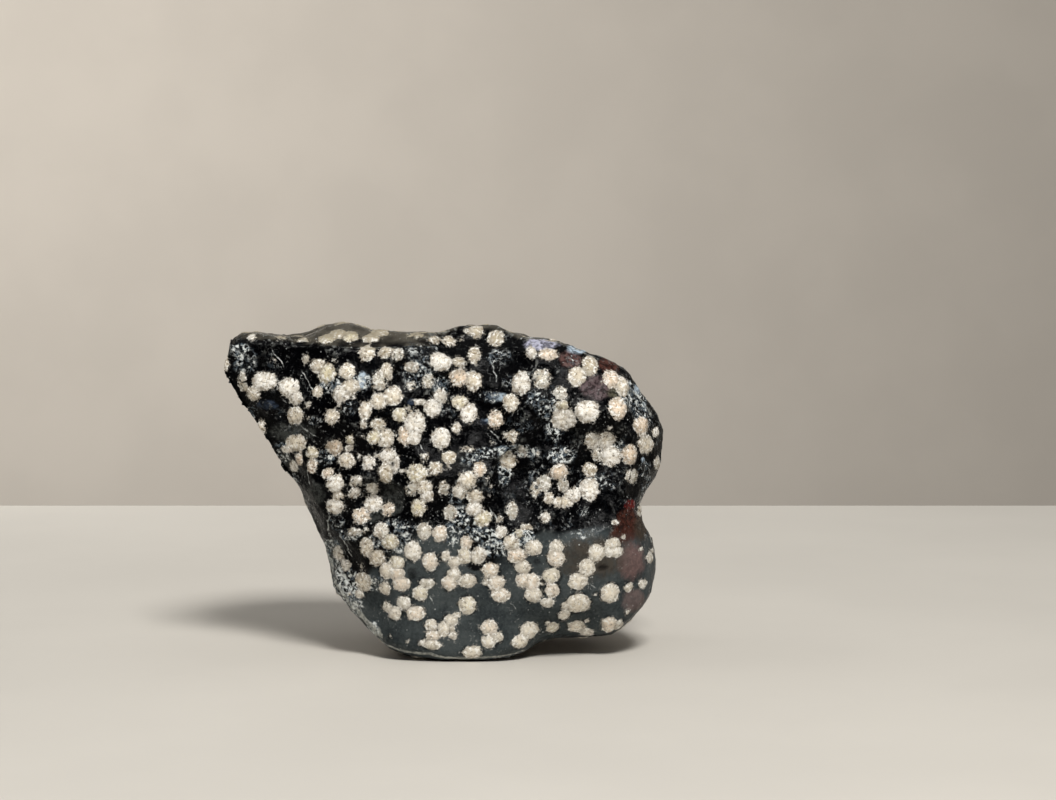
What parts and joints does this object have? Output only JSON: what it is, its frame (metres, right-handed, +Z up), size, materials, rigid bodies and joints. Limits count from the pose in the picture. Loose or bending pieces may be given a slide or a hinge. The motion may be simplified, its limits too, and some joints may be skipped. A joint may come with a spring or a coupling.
{
  "type": "snowflake obsidian stone",
  "caption": "Broken chunk of black volcanic glass with pale snowflake spherulites and red-brown patches, standing on a flat of its lower edge.",
  "frame": {"origin": "on the ground, under the middle of the stone's bounding box", "axes": "+Z up, +X along the stone's width towards its rounded end, the broad broken face looks along -Y"},
  "size_m": [0.12, 0.0642, 0.0887],
  "materials": {
    "obsidian": "glossy black broken glass with matte cream snowflakes, frosted breaks and red-brown patches"
  },
  "bodies": {
    "root": {"stone": "obsidian"}
  },
  "joints": []
}
